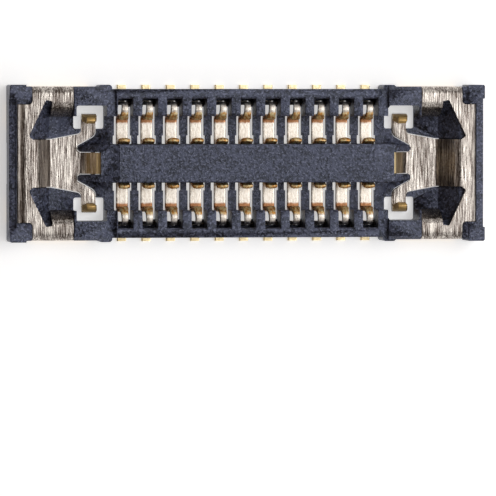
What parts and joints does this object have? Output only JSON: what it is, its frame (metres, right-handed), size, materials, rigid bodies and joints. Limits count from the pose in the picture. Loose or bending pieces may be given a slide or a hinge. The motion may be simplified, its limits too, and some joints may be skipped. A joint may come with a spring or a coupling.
{
  "type": "fpc connector",
  "caption": "Fine-pitch two-row board-to-board FPC receptacle: slotted black housing with a centre island, bent spring contacts and a formed metal power fitting at each end",
  "frame": {"origin": "on the solder plane, under the middle of the connector", "axes": "+X along the contact rows, +Y across them towards row a, +Z out of the mating side"},
  "size_m": [0.0068, 0.0022, 0.0006],
  "materials": {
    "housing_plastic": "satin moulded liquid-crystal polymer, blue-black",
    "fitting_metal": "rolled sheet, nickel plated, gold on the solder edges and contact points",
    "contact_metal": "nickel plated copper alloy, gold on the tails and contact points"
  },
  "bodies": {
    "root": {"housing": "housing_plastic", "end_fitting_left": "fitting_metal", "end_fitting_right": "fitting_metal", "contact_a1": "contact_metal", "contact_a2": "contact_metal", "contact_a3": "contact_metal", "contact_a4": "contact_metal", "contact_a5": "contact_metal", "contact_a6": "contact_metal", "contact_a7": "contact_metal", "contact_a8": "contact_metal", "contact_a9": "contact_metal", "contact_a10": "contact_metal", "contact_a11": "contact_metal", "contact_b1": "contact_metal", "contact_b2": "contact_metal", "contact_b3": "contact_metal", "contact_b4": "contact_metal", "contact_b5": "contact_metal", "contact_b6": "contact_metal", "contact_b7": "contact_metal", "contact_b8": "contact_metal", "contact_b9": "contact_metal", "contact_b10": "contact_metal", "contact_b11": "contact_metal"}
  },
  "joints": []
}
